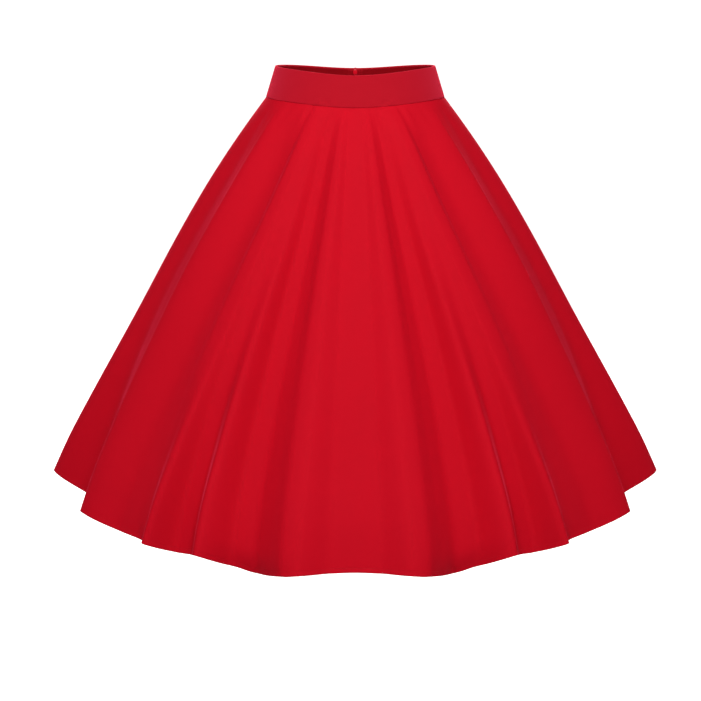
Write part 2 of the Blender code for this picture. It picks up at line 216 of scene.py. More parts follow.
def cloth_finish(
    name,
    colour,
    sheen,
    tint=DEEP_RED_SHEEN,
    sheen_roughness=0.32,
    rib=0.0006,
    mottle=0.05,
    bump_height=0.00012,
):
    """A woven finish that reads the cloth's own cut, so the ribs run as they were woven."""
    finish = bpy.data.materials.new(name)
    finish.use_nodes = True
    tree = finish.node_tree
    shader = tree.nodes["Principled BSDF"]
    shader.inputs["Specular IOR Level"].default_value = 0.10
    shader.inputs["Sheen Weight"].default_value = sheen
    shader.inputs["Sheen Roughness"].default_value = sheen_roughness
    shader.inputs["Sheen Tint"].default_value = tint
    cut = add_node(tree, "UVMap", uv_map="cut")
    weave = add_node(tree, "Group", node_tree=TWILL)
    weave.inputs["Colour"].default_value = (*colour, 1)
    weave.inputs["Rib"].default_value = rib
    weave.inputs["Mottle"].default_value = mottle
    bump = add_node(tree, "Bump", {"Strength": 0.6, "Distance": bump_height})
    tree.links.new(cut.outputs[0], weave.inputs["Place"])
    tree.links.new(weave.outputs["Height"], bump.inputs["Height"])
    tree.links.new(weave.outputs["Colour"], shader.inputs["Base Color"])
    tree.links.new(weave.outputs["Roughness"], shader.inputs["Roughness"])
    tree.links.new(bump.outputs[0], shader.inputs["Normal"])
    return finish


def finished(name, build, finish, body):
    """Makes a piece of a bmesh, in its final place, and says what it rides on."""
    for face in build.faces:
        face.smooth = True
    mesh = bpy.data.meshes.new(name)
    build.to_mesh(mesh)
    build.free()
    mesh.materials.append(finish)
    piece = bpy.data.objects.new(name, mesh)
    bpy.context.scene.collection.objects.link(piece)
    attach(piece, body)
    return piece


def cloth_piece(name, points, cut, thick, finish):
    """One layer of cloth: a grid bent to points, its unrolled cut as its UV map, its wall to the inside."""
    rows, columns = points.shape[:2]
    build = bmesh.new()
    unrolled = build.loops.layers.uv.new("cut")
    bmesh.ops.create_grid(build, x_segments=columns - 1, y_segments=rows - 1, size=0.5)
    places = []
    for vert in build.verts:
        place = round((0.5 - vert.co.y) * (rows - 1)), round((vert.co.x + 0.5) * (columns - 1))
        places.append(place)
        vert.co = points[place]
    build.verts.index_update()
    for face in build.faces:
        for loop in face.loops:
            loop[unrolled].uv = cut[places[loop.vert.index]]
    piece = finished(name, build, finish, "garment")
    wall = piece.modifiers.new("wall", "SOLIDIFY")
    wall.thickness = thick
    wall.offset = -1
    return piece


def thread_finish(name, colour):
    """Sewing thread: two plies, so fine light and dark slants along it."""
    finish = bpy.data.materials.new(name)
    finish.use_nodes = True
    tree = finish.node_tree
    shader = tree.nodes["Principled BSDF"]
    shader.inputs["Specular IOR Level"].default_value = 0.25
    shader.inputs["Roughness"].default_value = 0.55
    place = add_node(tree, "TexCoord")
    plies = add_node(tree, "TexWave", {"Scale": 900.0, "Distortion": 1.5}, bands_direction="DIAGONAL")
    fuzz = add_node(tree, "TexNoise", {"Scale": 2600.0, "Detail": 2.0})
    shade = add_node(tree, "MapRange", {"To Min": 0.78, "To Max": 1.12})
    tint = add_node(tree, "HueSaturation", {"Color": (*colour, 1)})
    bump = add_node(tree, "Bump", {"Strength": 0.5, "Distance": 0.00005})
    for texture in (plies, fuzz):
        tree.links.new(place.outputs["Object"], texture.inputs["Vector"])
    tree.links.new(plies.outputs["Fac"], shade.inputs["Value"])
    tree.links.new(shade.outputs[0], tint.inputs["Value"])
    tree.links.new(tint.outputs[0], shader.inputs["Base Color"])
    tree.links.new(fuzz.outputs["Fac"], bump.inputs["Height"])
    tree.links.new(bump.outputs[0], shader.inputs["Normal"])
    return finish


def capsules(build, places):
    """A small capsule at each place, made in short lots because a long mesh grows slowly."""
    lot_mesh = bpy.data.meshes.new("lot")
    for first in range(0, len(places), 30):
        lot = bmesh.new()
        for place in places[first : first + 30]:
            bmesh.ops.create_uvsphere(lot, u_segments=6, v_segments=4, radius=0.5, matrix=place)
        lot.to_mesh(lot_mesh)
        lot.free()
        build.from_mesh(lot_mesh)
    bpy.data.meshes.remove(lot_mesh)


def stitch_row(build, line, normals, pitch, size, turn=0.0):
    """Stitches along a line, sunk half into the cloth; size is their length, width and height."""
    along = np.concatenate([[0], np.cumsum(np.linalg.norm(np.diff(line, axis=0), axis=1))])

    def read(values, at):
        return Vector([np.interp(at, along, values[:, axis]) for axis in range(3)])

    places = []
    for at in np.arange(pitch / 2, along[-1], pitch):
        out = read(normals, at).normalized()
        run = (read(line, at + pitch / 4) - read(line, at - pitch / 4)).normalized()
        run = Matrix.Rotation(math.radians(turn), 3, out) @ run
        across = run.cross(out).normalized()
        place = Matrix((across, run.cross(across), run)).transposed().to_4x4()
        size_matrix = Matrix.Diagonal((size[1], size[2], size[0], 1))
        places.append(Matrix.Translation(read(line, at)) @ place @ size_matrix)
    capsules(build, places)


band_cloth = cloth_finish("red twill, waistband", (0.460, 0.0010, 0.0095), 1.0, (1.0, 0.045, 0.10, 1), 0.65)
# The inside of the waistband is the same twill, coloured darker as painted shade
band_inside_painted_shade = cloth_finish("red twill, inside of the waistband, painted shade", (0.300, 0.0006, 0.0050), 0.1)
band_creases = list(BAND_CREASES) + mirrored(BAND_CREASES)
# Rows up the outer layer, over the folded top edge and down the inner layer: distance up, distance inwards
half_thick = BAND_THICK / 2
below_fold = BAND_HEIGHT - 0.0022
band_rows = [(0.0001, 0.00022), (0.0004, 0.00006), (0.0014, 0.0)]
band_rows += [(up, 0.0) for up in np.linspace(0.004, BAND_HEIGHT - 0.004, 18)]
band_rows += [(below_fold, 0.0), (BAND_HEIGHT - half_thick, 0.0)]
band_rows += [
    (BAND_HEIGHT - half_thick + half_thick * math.sin(turn), half_thick - half_thick * math.cos(turn))
    for turn in np.radians((30, 60, 90, 120, 150, 180))
]
band_rows += [(up, BAND_THICK) for up in np.linspace(below_fold, 0.0006, 16)]
edges = np.array([0.0, 0.12, 0.35, 0.8])
band_bearings = np.concatenate([-180 + edges, np.linspace(-178.5, 178.5, 300), 180 - edges[::-1]])
ups = sorted({up for up, _ in band_rows})
band_face = band_points(band_bearings, ups)
to_wearer = inward(band_face)
band_face = band_face - to_wearer * creased(band_bearings, ups, band_creases)[..., None]
# The turned-in ends are pressed thinner
closing = np.ones(len(band_bearings))
closing[:3] = closing[: -4:-1] = (0.62, 0.78, 0.94)
band_grid, band_cut = [], []
for up, inset in band_rows:
    row = ups.index(up)
    insets = half_thick + (inset - half_thick) * closing
    band_grid.append(band_face[row] + to_wearer[row] * insets[:, None])
    around = np.radians(band_bearings) * (BAND_FOOT_HALF_WIDTH + BAND_FOOT_HALF_DEPTH) / 2
    along = up if inset < half_thick else 2 * BAND_HEIGHT - up
    band_cut.append(np.stack([around, np.full_like(around, along)], axis=-1))
band_grid = np.array(band_grid)[::-1]
band_cut = np.array(band_cut)[::-1]
mouths = mouth_at(BAND_HEIGHT - np.array([up for up, _ in band_rows])[::-1])
waist_band = cloth_piece(
    "waist_band", trimmed(band_grid, mouths), band_cut, CLOTH_THICK, band_cloth
)
# Its inner layer, coloured darker with painted shade where little light reaches inside, starts a little below
# the folded top edge
waist_band.data.materials.append(band_inside_painted_shade)
for face in waist_band.data.polygons:
    if waist_band.data.uv_layers["cut"].data[face.loop_start].uv[1] > BAND_HEIGHT + 0.0015:
        face.material_index = 1
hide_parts("waistband")
# The inner layer's foot is caught down by hand from inside. Stitches are given by their spacing, by their
# length, width and height, and by the degrees that they slant
FOOT_PITCH, FOOT_STITCH, FOOT_SLANT = 0.0042, (0.0022, 0.0004, 0.0003), 14
THREAD_LIFT = 0.00004
red_thread = thread_finish("red sewing thread", (0.50, 0.0012, 0.0090))
foot_line = band_points(np.linspace(-177, 177, 400), (0.0030, 0.0016))
foot_normals = inward(foot_line)[1]
foot_line = foot_line[1] + foot_normals * (BAND_THICK + THREAD_LIFT)
build = bmesh.new()
stitch_row(build, foot_line, foot_normals, FOOT_PITCH, FOOT_STITCH, FOOT_SLANT)
foot_stitches = finished("band_foot_stitches", build, red_thread, "garment")

# Skirt panels: twill cut from a flat ring, a little over a quarter for the front and an eighth for each
# half of the back, so that it flares into folds as it hangs. They are sewn together down the sides and the
# centre back, the allowances pressed open, their tops inside the waistband, and the hem is turned and sewn.
SKIRT_SLANT = 0.668
RING_INNER = 0.228
LEAST_FALL = 0.3
SEAM_GAP = 0.0003
SEAM_GROOVE = (0.00035, 0.00008)
HEM_ROLL, HEM_STITCH_UP = 0.00085, 0.0068
HEM_PITCH, HEM_STITCH, STITCH_DENT = 0.0031, (0.0024, 0.00042, 0.0003), 0.00012
TUCKED_INSET, ALLOWANCE_INSET, ALLOWANCE_THICK = 0.00085, 0.0009, 0.0005
OVERLOCK_PITCH, OVERLOCK_STITCH, OVERLOCK_SLANT = 0.0026, (0.0030, 0.0003, 0.0007), 62
FRONT_COLUMNS, BACK_COLUMNS, EDGE_COLUMN = 280, 140, 0.3
Ring = namedtuple("Ring", "down half_width front_depth back_depth")
RINGS = (
    Ring(0.000, 0.1315, 0.0960, 0.0960),
    Ring(0.030, 0.1475, 0.1105, 0.1115),
    Ring(0.080, 0.1735, 0.1315, 0.1345),
    Ring(0.160, 0.2145, 0.1600, 0.1660),
    Ring(0.260, 0.2625, 0.1940, 0.2040),
    Ring(0.380, 0.3160, 0.2320, 0.2470),
    Ring(0.520, 0.3775, 0.2740, 0.2950),
    Ring(0.610, 0.4155, 0.3000, 0.3255),
    Ring(0.668, 0.4375, 0.3125, 0.3405),
)
# One row for each line that runs down a fold: its bearing at the seam, half way down and at the hem, how
# far it stands out from the smooth section near the top, half way down and at the hem in mm, and how much
# longer it hangs at the hem in mm, where the cloth lies on the bias
Fold = namedtuple("Fold", "line seam middle hem out_upper out_middle out_hem drop")
UPPER_SHARE = 0.15
FRONT_FOLDS = (
    Fold("centre panel", 0.0, 0.0, 0.0, 0, -1, -3, 0),
    Fold("first trough", 5.0, 6.0, 6.5, 0.5, 0.5, -1, 2),
    Fold("first crest", 8.5, 12.8, 14.4, 4, 9, 21, 11),
    Fold("first edge", 10.5, 16.2, 17.4, 3, 7, 19, 13),
    Fold("first flank", 12.8, 21.2, 23.0, -2, -6, -4, 13),
    Fold("first foot", 15.6, 26.3, 28.5, -6.5, -15, -23, 12),
    Fold("first valley", 19.0, 30.8, 33.6, -6, -15, -25, 8),
    Fold("second crest", 23.5, 35.3, 39.2, 0, 4, 12, 5),
    Fold("second valley", 26.0, 39.8, 45.4, 3, -1, -28, 9),
    Fold("second foot", 27.4, 42.2, 49.6, 4.5, 1, -31, 14),
    Fold("third crest", 29.0, 44.5, 52.4, 5.5, 7, 8, 16),
    Fold("third edge", 32.5, 48.5, 55.0, 4.5, 5, -8, 13),
    Fold("third foot", 37.0, 51.7, 58.2, -1.5, 0, -13, 10),
    Fold("third valley", 45.0, 56.5, 62.6, -5, -4, -14, 8),
    Fold("fourth crest", 60.0, 69.5, 72.0, 3.5, 8, 7, 7),
    Fold("fourth edge", 63.5, 73.2, 76.0, 0.5, -3, -22, 5),
    Fold("side valley", 71.0, 80.0, 86.0, -3, -6, -34, 0),
    Fold("side crest", 88.0, 90.0, 94.5, 6, 12, 29, 0),
    Fold("side back", 94.0, 96.0, 99.5, 2, 0, 5, 0),
)
BACK_FOLDS = (
    Fold("left valley", 103.0, 107.0, 110.0, -4, -12, -24, 0),
    Fold("left crest", 117.0, 121.0, 124.0, 4.5, 13, 28, 4),
    Fold("left inner valley", 129.0, 134.0, 137.0, -3.5, -10, -22, 0),
    Fold("left inner crest", 143.0, 148.0, 151.0, 3.5, 12, 24, 5),
    Fold("zip left valley", 160.0, 163.0, 165.0, -1, -7, -18, 0),
    Fold("zip crest", 176.0, 177.0, 178.0, 0, 4, 10, 2),
    Fold("zip right valley", 196.0, 195.0, 193.0, -1, -8, -20, 0),
    Fold("right inner crest", 213.0, 210.0, 207.0, 4, 13, 27, 5),
    Fold("right inner valley", 226.0, 222.0, 220.0, -4, -11, -25, 0),
    Fold("right crest", 240.0, 238.0, 235.0, 4, 12, 25, 4),
    Fold("right valley", 255.0, 252.0, 249.0, -3.5, -10, -22, 0),
)
MIRRORED_FOLDS = tuple(
    fold._replace(
        line=fold.line + " right", seam=360 - fold.seam, middle=360 - fold.middle, hem=360 - fold.hem
    )
    for fold in reversed(FRONT_FOLDS[1:])
)
FOLDS = FRONT_FOLDS + BACK_FOLDS + MIRRORED_FOLDS
# Small creases: the cloth eases into the waistband seam, and the hem curls under between the folds
SKIRT_CREASES = (
    Crease(17, 60, -0.010, 0.060, 2.2, -0.7),
    Crease(34, 90, -0.012, 0.040, 2.0, -0.9),
    Crease(39, 60, -0.012, 0.050, 2.4, 0.8),
    Crease(52, 40, -0.010, 0.060, 2.6, -0.6),
    Crease(70, 30, -0.010, 0.080, 3.0, -0.7),
    Crease(16.5, 0, 0.637, 0.730, 5.0, -10.0),
    Crease(35, 0, 0.640, 0.696, 4.0, -2.5),
    Crease(104, 20, -0.010, 0.070, 2.4, -0.8),
    Crease(121, 30, -0.012, 0.050, 2.0, -0.9),
    Crease(136, 30, -0.010, 0.080, 2.8, 0.8),
    Crease(154, 10, -0.010, 0.050, 2.2, -0.7),
    Crease(205, -10, -0.010, 0.060, 2.4, -0.8),
    Crease(221, -30, -0.012, 0.070, 2.2, 0.8),
    Crease(236, -30, -0.010, 0.050, 2.0, -0.9),
    Crease(257, -20, -0.010, 0.080, 3.0, -0.7),
    Crease(110, 0, 0.630, 0.706, 5.0, -4.0),
    Crease(152, 0, 0.634, 0.702, 5.0, -3.5),
    Crease(224, 0, 0.628, 0.708, 5.0, -4.0),
)


def through_points(wanted, at, values):
    """The curve through the points (at, values), which turns only at those points, read at wanted."""
    wanted, at, values = (np.asarray(row, float) for row in (wanted, at, values))
    gap, steep = np.diff(at), np.diff(values) / np.diff(at)
    before, after = steep[:-1], steep[1:]
    rising = before * after > 0
    weigh_before, weigh_after = 2 * gap[1:] + gap[:-1], gap[1:] + 2 * gap[:-1]
    weighed = weigh_before / np.where(rising, before, 1) + weigh_after / np.where(rising, after, 1)
    mean = (weigh_before + weigh_after) / weighed
    slope = np.concatenate([steep[:1], np.where(rising, mean, 0), steep[-1:]])
    span = np.clip(np.searchsorted(at, wanted) - 1, 0, len(at) - 2)
    share = (wanted - at[span]) / gap[span]
    return (
        values[span] * (1 + 2 * share) * (1 - share) ** 2
        + slope[span] * gap[span] * share * (1 - share) ** 2
        + values[span + 1] * share * share * (3 - 2 * share)
        + slope[span + 1] * gap[span] * share * share * (share - 1)
    )


def round_points(bearings, at, values, per_lap=0.0):
    """through_points on a closed round, where values grows by per_lap in each lap."""
    at, values = np.asarray(at, float), np.asarray(values, float)
    at = np.concatenate([at[-3:] - 360, at, at[:3] + 360])
    values = np.concatenate([values[-3:] - per_lap, values, values[:3] + per_lap])
    return through_points(bearings, at, values)


def fold_growth(fold, share):
    """How far a fold line stands out at this share of the slant, in metres."""
    outs = (0.0, fold.out_upper, fold.out_middle, fold.out_hem)
    return float(through_points([share], (0.0, UPPER_SHARE, 0.5, 1.0), outs)[0]) / 1000


def plan_at(seams, down):
    """Plan points of the outer face at one slant distance, for columns named by their bearing at the seam."""
    share = down / SKIRT_SLANT
    downs, *sizes = zip(*RINGS)
    half_width, front, back = (through_points([down], downs, size)[0] for size in sizes)
    at = [fold.seam for fold in FOLDS]
    bent = [
        fold.seam * 2 * (share - 0.5) * (share - 1)
        + fold.middle * 4 * share * (1 - share)
        + fold.hem * 2 * share * (share - 0.5)
        for fold in FOLDS
    ]
    angle = np.radians(round_points(seams % 360, at, bent, per_lap=360))
    out = round_points(seams % 360, at, [fold_growth(fold, share) for fold in FOLDS])
    half_depth = np.where(np.cos(angle) > 0, front, back)
    radius = oval_radius(angle, half_width, half_depth) + out
    return np.stack([radius * np.sin(angle), -radius * np.cos(angle)], axis=-1)


def skirt_points(seams, downs):
    """Outer face as rows of columns: every column has the same slant, so it climbs where it stands out."""
    plan = np.array([plan_at(seams, down) for down in downs])
    run = np.linalg.norm(np.diff(plan, axis=0), axis=-1)
    slant = np.diff(downs)[:, None]
    fall = np.cumsum(np.sqrt(np.maximum(slant**2 - run**2, (LEAST_FALL * slant) ** 2)), axis=0)
    at = [fold.seam for fold in FOLDS]
    drop = round_points(seams % 360, at, [fold.drop for fold in FOLDS]) / 1000
    height = np.tile(foot_height(np.radians(seams)), (len(downs), 1))
    height[1:] -= fall
    height -= drop * (np.array(downs)[:, None] / SKIRT_SLANT) ** 2
    return np.concatenate([plan, height[..., None]], axis=-1)


skirt_creases = list(SKIRT_CREASES) + mirrored(SKIRT_CREASES)
BODY_DOWNS = [0.0, 0.0004, 0.0012, 0.0022, 0.004, 0.007, 0.011, 0.016]
BODY_DOWNS += list(np.linspace(0.022, 0.652, 104))
HEM_UPS = (0.0115, 0.0092, 0.0078, HEM_STITCH_UP, 0.0058, 0.0044, 0.003, 0.0018, HEM_ROLL)
HEM_DOWNS = [SKIRT_SLANT - up for up in HEM_UPS]


def skirt_surface(seams, downs):
    """Outer face with its small creases, and its normals to the wearer, at any of the skirt's downs."""
    every = sorted(set(BODY_DOWNS + HEM_DOWNS + [float(down) for down in downs]) | {SKIRT_SLANT})
    face = skirt_points(seams, every)
    to_wearer = inward(face)
    face = face - to_wearer * creased(seams % 360, every, skirt_creases)[..., None]
    to_wearer = inward(face)
    rows = [every.index(float(down)) for down in downs]
    return face[rows], to_wearer[rows]


def even_columns(start, end, count):
    """Seam bearings of evenly spaced columns, with narrow ones at each edge for the seam's soft groove."""
    fine = np.linspace(start, end, 1201)
    steps = sum(
        np.linalg.norm(np.diff(plan_at(fine, down), axis=0), axis=-1)
        for down in (0.0, SKIRT_SLANT / 2, SKIRT_SLANT)
    )
    length = np.concatenate([[0], np.cumsum(steps)])
    columns = np.interp(np.linspace(0, length[-1], count + 1), length, fine)
    return np.sort(np.append(columns, (start + EDGE_COLUMN, end - EDGE_COLUMN)))


def flat_cut(seams, downs, on_grain, sweep):
    """Where the cloth lay on the flat ring it was cut from: on_grain is the bearing of the grain, and sweep
    the degrees of the ring for each degree of bearing."""
    angle = np.radians((seams - on_grain) * sweep)
    radius = RING_INNER + np.array(downs, float)[:, None]
    return np.stack([radius * np.sin(angle), -radius * np.cos(angle)], axis=-1)


skirt_cloth = cloth_finish("red twill, skirt", (0.590, 0.0010, 0.0120), 0.60)
# Rows of a panel: distance down its outer face and distance inwards, first out from under the waistband,
# then down the skirt, round the hem's edge and up its turned inner side
panel_rows = [(0.0004, 0.00035), (0.0012, 0.0001)] + [(down, 0.0) for down in BODY_DOWNS[3:]]
stitch_down = SKIRT_SLANT - HEM_STITCH_UP
panel_rows += [(down, STITCH_DENT if down == stitch_down else 0.0) for down in HEM_DOWNS]
panel_rows += [
    (SKIRT_SLANT - HEM_ROLL + HEM_ROLL * math.sin(turn), HEM_ROLL - HEM_ROLL * math.cos(turn))
    for turn in np.radians((36, 72, 108, 144))
]
panel_rows += [(down, 2 * HEM_ROLL) for down in HEM_DOWNS[:1:-1]]
panel_rows += [(SKIRT_SLANT - 0.0084, 1.6 * HEM_ROLL)]


def beside(seam, side, spreads, downs):
    """Outer face at these distances to one side of a seam, and its normals to the wearer."""
    face, to_wearer = skirt_surface(seam + side * np.linspace(0, 14, 57), downs)
    points, normals = [], []
    for row, normal in zip(face, to_wearer):
        along = np.concatenate([[0], np.cumsum(np.linalg.norm(np.diff(row, axis=0), axis=1))])
        for grid, values in ((points, row), (normals, normal)):
            grid.append(np.stack([np.interp(spreads, along, values[:, axis]) for axis in range(3)], axis=-1))
    return np.array(points), np.array(normals)


ALLOWANCE_SPREADS = (0.0, 0.0008, 0.004, 0.008, 0.012, 0.0144, 0.015)
allowance_downs = [0.0022, *np.linspace(0.012, 0.65, 50), SKIRT_SLANT - 0.0115, SKIRT_SLANT - 0.002]
for name, node, start, end, count, on_grain, sweep, flat, area in (
    ("front_panel", "skirt_front", -90, 90, FRONT_COLUMNS, 0, 0.54, (1.345, 0.746), 0.638),
    ("left_back_panel", "skirt_back_left", 90, 180, BACK_COLUMNS, 180, 0.5, (0.634, 0.735), 0.295),
    ("right_back_panel", "skirt_back_right", 180, 270, BACK_COLUMNS, 180, 0.5, (0.634, 0.735), 0.295),
):
    seams = even_columns(start, end, count)
    face, to_wearer = skirt_surface(seams, [down for down, _ in panel_rows])
    insets = np.array([inset for _, inset in panel_rows])[:, None] + np.zeros(len(seams))
    outer_rows = np.array([inset < HEM_ROLL for _, inset in panel_rows])
    groove = np.zeros(len(seams))
    groove[:2], groove[-2:] = SEAM_GROOVE, SEAM_GROOVE[::-1]
    insets[outer_rows] += groove
    # The top edge lies inside the waistband and follows its creases
    tuck_ups = (0.006, 0.0025, 0.0003)
    tucked = band_points(seams, tuck_ups)
    tucked += inward(tucked) * (TUCKED_INSET - creased(seams % 360, tuck_ups, band_creases))[..., None]
    points = trimmed(np.concatenate([tucked, face + to_wearer * insets[..., None]]), SEAM_GAP)
    downs = [-up for up in tuck_ups] + [down for down, _ in panel_rows]
    cut = flat_cut(seams, downs, on_grain, sweep)
    panel = cloth_piece(name, points, cut, CLOTH_THICK, skirt_cloth)
    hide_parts(node)
    # The hem's stitches, outside and inside
    line, normals = (grid[0] for grid in skirt_surface(seams, [stitch_down]))
    build = bmesh.new()
    for inset, side in ((2 * THREAD_LIFT, -1), (2 * HEM_ROLL, 1)):
        stitch_row(build, line + normals * inset, side * normals, HEM_PITCH, HEM_STITCH)
    extras = [finished(name + "_hem_stitches", build, red_thread, "garment")]
    # The seam allowances, pressed open inside, their raw edges overlocked
    for edge, seam, side in (("start", start, 1), ("end", end, -1)):
        points, normals = beside(seam, side, ALLOWANCE_SPREADS, allowance_downs)
        points = points + normals * ALLOWANCE_INSET
        cut = np.broadcast_arrays(ALLOWANCE_SPREADS, -np.array(allowance_downs)[:, None])
        cut = np.stack(cut, axis=-1)
        raw_edge, away = points[:, -1], normals[:, -1]
        build = bmesh.new()
        stitch_row(build, raw_edge + away * 0.0003, away, OVERLOCK_PITCH, OVERLOCK_STITCH, OVERLOCK_SLANT)
        extras.append(finished(f"{name}_{edge}_overlock", build, red_thread, "garment"))
        if side < 0:
            points, cut = points[:, ::-1], cut[:, ::-1]
        allowance = f"{name}_{edge}_allowance"
        extras.append(cloth_piece(allowance, points, cut, ALLOWANCE_THICK, skirt_cloth))

# Zip tapes and coil: a concealed zip matched to the skirt. Two narrow woven polyester tapes are sewn
# inside the waistband and the back panels, with a nylon coil on the wearer's side that the slider closes,
# and a moulded stop at its foot.
ZIP_TOP, ZIP_FOOT = 0.002, BAND_HEIGHT + 0.15
TAPE_WIDTH, TAPE_THICK = 0.0113, 0.0006
TAPE_INSET_BAND, TAPE_INSET_SKIRT = 0.0030, 0.0020
TAPE_SPREADS = np.array([0.0, 0.0004, 0.0018, 0.0032, 0.0052, 0.0075, 0.0095, 0.0109, TAPE_WIDTH])
TAPE_STITCH_COLUMNS = (4, 6)
TAPE_PITCH, TAPE_STITCH = 0.0026, (0.0020, 0.0004, 0.00028)
COIL_START, COIL_PITCH = 0.0104, 0.0009
LOOP_SIZE, LOOP_TURN, LOOP_INSET, LOOP_CROSSING = (0.0025, 0.00058, 0.0007), 9, 0.00022, 0.0005
STOP_UP, STOP_SIZE = 0.0045, (0.0042, 0.0030, 0.0012)


def zip_face(side, spreads, depths):
    """The zip tape's outer face beside the closing line, by depth below the top, and its inward normals."""
    spreads, depths = np.asarray(spreads, float), np.asarray(depths, float)
    on_band = band_points(
        180 - side * np.degrees(spreads / BAND_TOP_HALF_DEPTH), BAND_HEIGHT - depths[depths <= BAND_HEIGHT]
    )
    on_skirt, normals = beside(180, -side, spreads, depths[depths > BAND_HEIGHT] - BAND_HEIGHT)
    points = np.concatenate([on_band, on_skirt])
    normals = np.concatenate([inward(on_band), normals])
    step = (BAND_HEIGHT - 0.004, BAND_HEIGHT + 0.010)
    insets = np.interp(depths, step, (TAPE_INSET_BAND, TAPE_INSET_SKIRT))
    points = points + normals * insets[:, None, None]
    points[..., 0] += side * mouth_at(depths)[:, None] / 2 * (1 - spreads / TAPE_WIDTH)
    return points, normals


tape_cloth = cloth_finish(
    "red zip tape", (0.310, 0.0008, 0.0060), 0.15, rib=0.0009, mottle=0.04, bump_height=0.0001
)
coil_nylon = thread_finish("red nylon coil", (0.420, 0.0010, 0.0080))
tape_depths = np.linspace(ZIP_TOP, BAND_HEIGHT - 0.0005, 20)
tape_depths = np.concatenate([tape_depths, np.linspace(BAND_HEIGHT + 0.002, ZIP_FOOT, 50)])
for name, node, side in (("left_tape", "zip_tape_left", 1), ("right_tape", "zip_tape_right", -1)):
    points, normals = zip_face(side, TAPE_SPREADS, tape_depths)
    build = bmesh.new()
    for column in TAPE_STITCH_COLUMNS:
        line = points[:, column] + normals[:, column] * (TAPE_THICK + THREAD_LIFT)
        stitch_row(build, line, normals[:, column], TAPE_PITCH, TAPE_STITCH)
    stitches = finished(name + "_stitches", build, red_thread, "garment")
    cut = np.stack(np.broadcast_arrays(TAPE_SPREADS, -tape_depths[:, None]), axis=-1)
    order = slice(None, None, -1 if side > 0 else 1)
    tape = cloth_piece(name, points[:, order], cut[:, order], TAPE_THICK, tape_cloth)
    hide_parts(node)
    # The coil's loops cross the closing line a little, in turn from each side
    build = bmesh.new()
    depths = np.arange(COIL_START if side > 0 else COIL_START + COIL_PITCH / 2, ZIP_FOOT - 0.004, COIL_PITCH)
    points, normals = zip_face(side, (0.0, 0.0009, 0.002), depths)
    loops = []
    for row, normal in zip(points, normals):
        centre = Vector(row[1] + normal[1] * (TAPE_THICK + LOOP_INSET))
        centre.x -= side * LOOP_CROSSING
        down = Vector(normal[1]).cross(Vector((1, 0, 0))).normalized()
        axes = Matrix(((1, 0, 0), down, Vector(normal[1]))).transposed().to_4x4()
        axes = Matrix.Translation(centre) @ axes @ Matrix.Rotation(math.radians(LOOP_TURN * side), 4, "Z")
        loops.append(axes @ Matrix.Diagonal((*LOOP_SIZE, 1)))
    capsules(build, loops)
    bmesh.ops.recalc_face_normals(build, faces=build.faces)
    finished(name + "_coil", build, coil_nylon, "garment")
stop_down = ZIP_FOOT - BAND_HEIGHT - STOP_UP
stop_points, stop_normals = beside(180, -1, (0.0, 0.001), (stop_down, stop_down + 0.002))
stop_centre = stop_points[0, 0] + stop_normals[0, 0] * (TAPE_INSET_SKIRT + TAPE_THICK + 0.0004)
stop_place = Matrix.Translation((0, *stop_centre[1:]))
stop_turn = Vector(stop_normals[0, 0]).to_track_quat("Z", "Y").to_matrix().to_4x4()
build = bmesh.new()
bmesh.ops.create_cube(build, size=1, matrix=stop_place @ stop_turn @ Matrix.Diagonal((*STOP_SIZE, 1)))
bmesh.ops.bevel(
    build, geom=build.edges[:], offset=0.0004, segments=3, profile=0.5, affect="EDGES", material=-1
)
finished("zip_foot_stop", build, coil_nylon, "garment")

# Zip slider: cast zinc with baked red enamel. An oval plate faces the wearer and a smaller one lies on
# the tapes, joined by a wedge that parts the coil. A blade passes out between the tapes and carries the
# pull tab in its hole.
SLIDER_DEPTH = 0.0054
BODY_FACE = 0.0041
# The plate that faces the wearer, the wedge that parts the coil and the plate on the tapes: width, height,
# where it starts inside the waistband's face, how thick it is, how round its rims are, and its raised middle
Plate = namedtuple("Plate", "width height start thick rounding ridge")
SLIDER_PLATES = (
    Plate(0.0064, 0.0084, BODY_FACE + 0.0015, 0.0008, 0.0003, 0.0003),
    Plate(0.0026, 0.0056, BODY_FACE + 0.0004, 0.0014, 0.0002, 0.0),
    Plate(0.0056, 0.0076, BODY_FACE, 0.0007, 0.0002, 0.0),
)
BLADE_WIDTH, BLADE_HALF_HEIGHT, BLADE_REACH, BLADE_SQUARENESS = 0.0012, 0.0024, 2.9, 0.35
PIVOT_OUT, PIVOT_HOLE_RADIUS, BLADE_RIM = 0.0019, 0.00105, 0.0006


